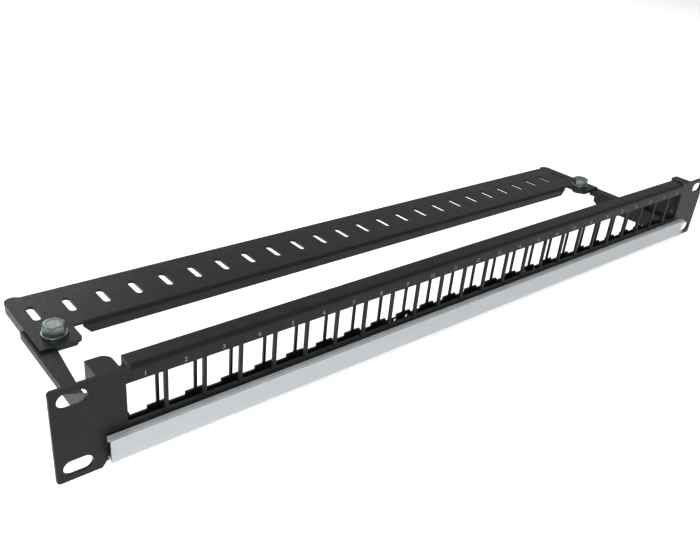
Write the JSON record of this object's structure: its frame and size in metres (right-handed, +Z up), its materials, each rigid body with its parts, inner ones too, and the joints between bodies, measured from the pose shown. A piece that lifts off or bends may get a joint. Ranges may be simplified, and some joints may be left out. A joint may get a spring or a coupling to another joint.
{
  "type": "patch panel",
  "caption": "One-unit rack patch panel of folded black steel with a row of empty jack ports, a clear label strip and a slotted cable tray on two rear arms.",
  "frame": {"origin": "on the mounting plane (the back of the two ears) at the centre of the four rack slots", "axes": "+X along the panel to the right as seen from the front, +Y to the back of the rack, +Z up"},
  "size_m": [0.4826, 0.1288, 0.0436],
  "materials": {
    "panel_coat": "semi-matt black powder coat",
    "frame_coat": "semi-matt black powder coat",
    "rail_coat": "semi-matt black powder coat",
    "arm_coat": "semi-matt black powder coat",
    "tray_coat": "semi-matt black powder coat",
    "card": "matt white card",
    "clear": "clear extruded plastic",
    "black_zinc": "black zinc plated",
    "washer_zinc": "zinc plated",
    "bolt_zinc": "zinc plated"
  },
  "bodies": {
    "panel": {"front_panel": "panel_coat", "port_frame": "frame_coat", "label_rail": "rail_coat", "rail_rivets": "black_zinc", "arm_studs_left": "black_zinc", "arm_studs_right": "black_zinc", "arm_left": "arm_coat", "arm_right": "arm_coat", "arm_washers_left": "black_zinc", "arm_washers_right": "black_zinc", "arm_nuts_left": "black_zinc", "arm_nuts_right": "black_zinc", "cable_tray": "tray_coat", "tray_washer_left": "washer_zinc", "tray_washer_right": "washer_zinc", "tray_nut_left": "black_zinc", "tray_nut_right": "black_zinc"},
    "card": {"label_card": "card"},
    "cover": {"label_cover": "clear"},
    "bolt_left": {"tray_bolt_left": "bolt_zinc"},
    "bolt_right": {"tray_bolt_right": "bolt_zinc"}
  },
  "joints": [
    {"name": "label_card_slide", "type": "slide", "parent": "panel", "child": "card", "axis": [1, 0, 0], "range_m": [0, 0.4]},
    {"name": "label_cover_slide", "type": "slide", "parent": "panel", "child": "cover", "axis": [1, 0, 0], "range_m": [0, 0.4]},
    {"name": "tray_bolt_left_turn", "type": "hinge", "parent": "panel", "child": "bolt_left", "pos_m": [-0.2105, 0.08, -0.00665], "axis": [0, 0, 1], "continuous": true},
    {"name": "tray_bolt_right_turn", "type": "hinge", "parent": "panel", "child": "bolt_right", "pos_m": [0.2105, 0.08, -0.00665], "axis": [0, 0, 1], "continuous": true}
  ]
}
